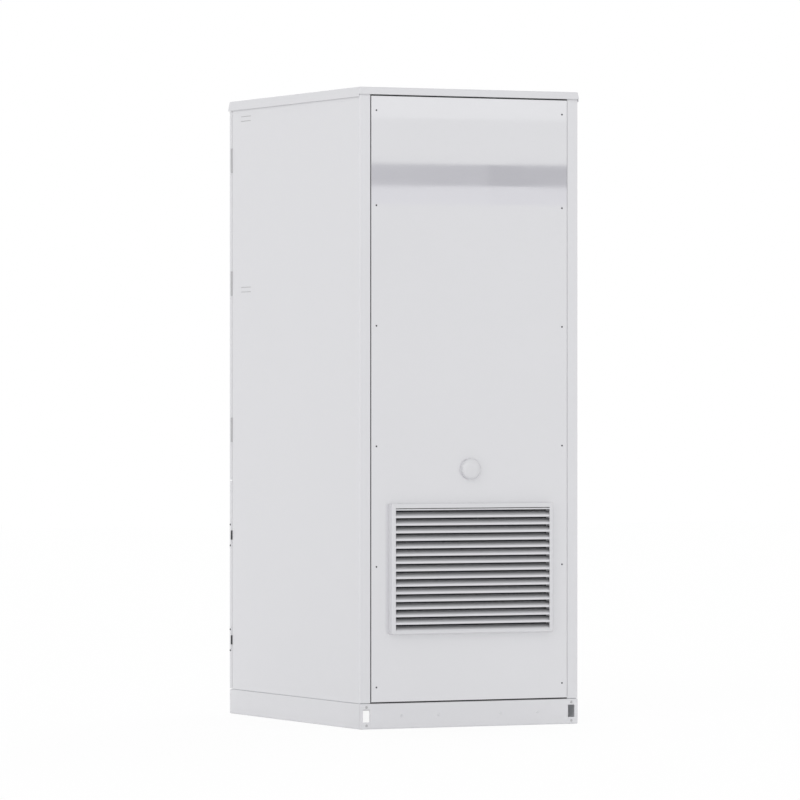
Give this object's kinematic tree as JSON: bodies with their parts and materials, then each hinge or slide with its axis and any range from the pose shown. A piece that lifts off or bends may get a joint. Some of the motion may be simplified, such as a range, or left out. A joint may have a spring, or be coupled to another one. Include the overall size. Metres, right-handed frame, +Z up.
{
  "type": "battery storage cabinet",
  "caption": "Tall outdoor battery storage cabinet with two front doors, a removable rear panel, a rain louvre and a hollow plinth.",
  "frame": {"origin": "on the floor, under the middle of the plinth, at the centre of the four anchor holes", "axes": "+Z up; -Y faces the doors, +Y the louvred rear panel; +X is the hinged side of the doors"},
  "size_m": [0.924, 1.269, 2.4],
  "materials": {
    "shell": "satin light grey powder coat",
    "rear_panel": "semi-gloss light grey powder coat",
    "plinth": "satin light grey powder coat",
    "louvre": "satin light grey powder coat",
    "filter": "dark filter cassette",
    "vent": "light grey moulded plastic",
    "screw_dark": "dark plated steel",
    "screw_plain": "plain plated steel",
    "seal": "black foam rubber",
    "galvanised": "galvanised sheet steel",
    "hinge_grey": "cast hinge halves, grey",
    "hinge_black": "black coated hinge halves",
    "strap": "light grey hinge plates",
    "handle": "black handle",
    "rod": "zinc plated latch rods",
    "pack": "dark grey battery casing",
    "fitting": "orange and black sockets and pulls",
    "pipe": "coolant pipes",
    "control": "dark grey control box",
    "isolator": "red rotary handle",
    "coil": "aluminium fins",
    "fan": "black fan",
    "motor": "black motor casting",
    "canister": "red painted canister",
    "detector": "white plastic",
    "gland": "black polyamide glands"
  },
  "bodies": {
    "cabinet": {"plinth_front_rail": "plinth", "plinth_rear_rail": "plinth", "plinth_left_rail": "plinth", "plinth_right_rail": "plinth", "plinth_screws": "screw_plain", "base_tray": "galvanised", "gland_plate": "galvanised", "cable_glands": "gland", "side_panel_left": "shell", "side_panel_right": "shell", "front_header": "galvanised", "rear_header": "galvanised", "mid_rail": "galvanised", "partition_shelf": "galvanised", "roof_deck": "galvanised", "roof_cover": "shell", "rear_panel": "rear_panel", "rear_panel_seal": "seal", "rear_panel_screws": "screw_dark", "louvre_hood": "louvre", "louvre_slats": "louvre", "louvre_filter": "filter", "vent_cap": "vent", "vent_spigot": "gland", "rack_posts": "galvanised", "rack_runners": "galvanised", "battery_pack_1": "pack", "battery_pack_2": "pack", "battery_pack_3": "pack", "battery_pack_4": "pack", "battery_pack_5": "pack", "pack_fittings": "fitting", "coolant_supply_manifold": "pipe", "coolant_return_manifold": "pipe", "control_box": "control", "cooling_unit_frame": "galvanised", "condenser_coil": "coil", "fan_shroud": "galvanised", "fan_motor": "motor", "compressor": "motor", "inverter": "control", "fire_canister": "canister", "smoke_detector": "detector", "hinge_pintles": "hinge_grey"},
    "upper_door_leaf": {"upper_door": "shell", "upper_door_frame": "galvanised", "upper_door_seal": "seal", "upper_hinge_sockets": "hinge_grey"},
    "lower_door_leaf": {"lower_door": "shell", "lower_door_frame": "galvanised", "lower_door_seal": "seal", "lower_hinge_sockets": "hinge_black", "lower_hinge_straps": "strap"},
    "upper_latch": {"upper_handle": "handle"},
    "lower_latch": {"lower_handle": "handle"},
    "upper_rod": {"upper_latch_rod": "rod"},
    "lower_rod": {"lower_latch_rod": "rod"},
    "fan": {"fan_rotor": "fan"},
    "isolator": {"isolator_handle": "isolator"},
    "stop": {"stop_button": "isolator"}
  },
  "joints": [
    {"name": "upper_door_hinge", "type": "hinge", "parent": "cabinet", "child": "upper_door_leaf", "pos_m": [0.457, -0.5825, 1.686], "axis": [0, 0, 1], "range_deg": [0, 110]},
    {"name": "lower_door_hinge", "type": "hinge", "parent": "cabinet", "child": "lower_door_leaf", "pos_m": [0.457, -0.5825, 0.4945], "axis": [0, 0, 1], "range_deg": [0, 110]},
    {"name": "upper_handle_turn", "type": "hinge", "parent": "upper_door_leaf", "child": "upper_latch", "pos_m": [-0.37, -0.605, 1.63875], "axis": [0, 1, 0], "range_deg": [0, 90]},
    {"name": "upper_rod_slide", "type": "slide", "parent": "upper_door_leaf", "child": "upper_rod", "axis": [0, 0, 1], "range_m": [0, 0.0285]},
    {"name": "lower_rod_slide", "type": "slide", "parent": "upper_door_leaf", "child": "lower_rod", "axis": [0, 0, -1], "range_m": [0, 0.0285]},
    {"name": "lower_handle_turn", "type": "hinge", "parent": "lower_door_leaf", "child": "lower_latch", "pos_m": [-0.37, -0.605, 0.56], "axis": [0, 1, 0], "range_deg": [0, 90]},
    {"name": "fan_spin", "type": "hinge", "parent": "cabinet", "child": "fan", "pos_m": [0, 0.5285, 0.5975], "axis": [0, 1, 0], "continuous": true},
    {"name": "isolator_turn", "type": "hinge", "parent": "cabinet", "child": "isolator", "pos_m": [0.18, -0.4615, 2.246], "axis": [0, 1, 0], "range_deg": [0, 90]},
    {"name": "stop_press", "type": "slide", "parent": "cabinet", "child": "stop", "axis": [0, 1, 0], "range_m": [0, 0.006], "stiffness_N_per_m": 900}
  ],
  "couplings": [
    {"joint": "upper_rod_slide", "follows": "upper_handle_turn", "m_per_rad": 0.018006},
    {"joint": "lower_rod_slide", "follows": "upper_handle_turn", "m_per_rad": 0.018006}
  ]
}
